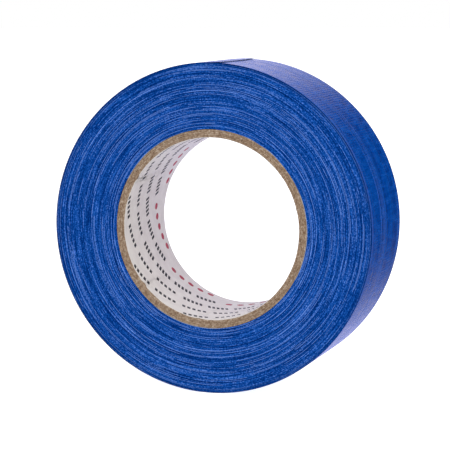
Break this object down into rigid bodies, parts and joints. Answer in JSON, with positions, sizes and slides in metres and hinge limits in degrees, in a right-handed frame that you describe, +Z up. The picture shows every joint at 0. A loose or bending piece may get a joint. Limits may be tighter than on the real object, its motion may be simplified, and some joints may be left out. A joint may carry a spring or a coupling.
{
  "type": "adhesive tape roll",
  "caption": "Roll of glossy cloth-backed adhesive tape wound on a spiral paperboard core, with a loose end that peels up from the roll.",
  "frame": {"origin": "centre of the core's bore, halfway across the roll's width", "axes": "+Y along the roll's axis towards its rear face, +Z up with the roll standing on its rim, +X to the right seen from the front"},
  "size_m": [0.1381, 0.05, 0.1383],
  "materials": {
    "tape_film": "satin",
    "wound_tape": "satin",
    "scrim_cloth": "matte",
    "adhesive": "satin",
    "core_board": "matte",
    "core_liner": "matte",
    "black_ink": "matte",
    "red_ink": "matte"
  },
  "bodies": {
    "roll": {"core_liner": "core_liner", "core_ply_1": "core_board", "core_ply_2": "core_board", "core_ply_3": "core_board", "core_ply_4": "core_board", "wound_tape": "wound_tape", "outer_lap_adhesive": "adhesive", "outer_lap_scrim": "scrim_cloth", "outer_lap_film": "tape_film"},
    "tape_end": {"tape_end_adhesive": "adhesive", "tape_end_scrim": "scrim_cloth", "tape_end_film": "tape_film"}
  },
  "joints": [
    {"name": "peel", "type": "hinge", "parent": "roll", "child": "tape_end", "pos_m": [-0.02049, 0, 0.06614], "axis": [0, -1, 0], "range_deg": [0, 120]}
  ]
}
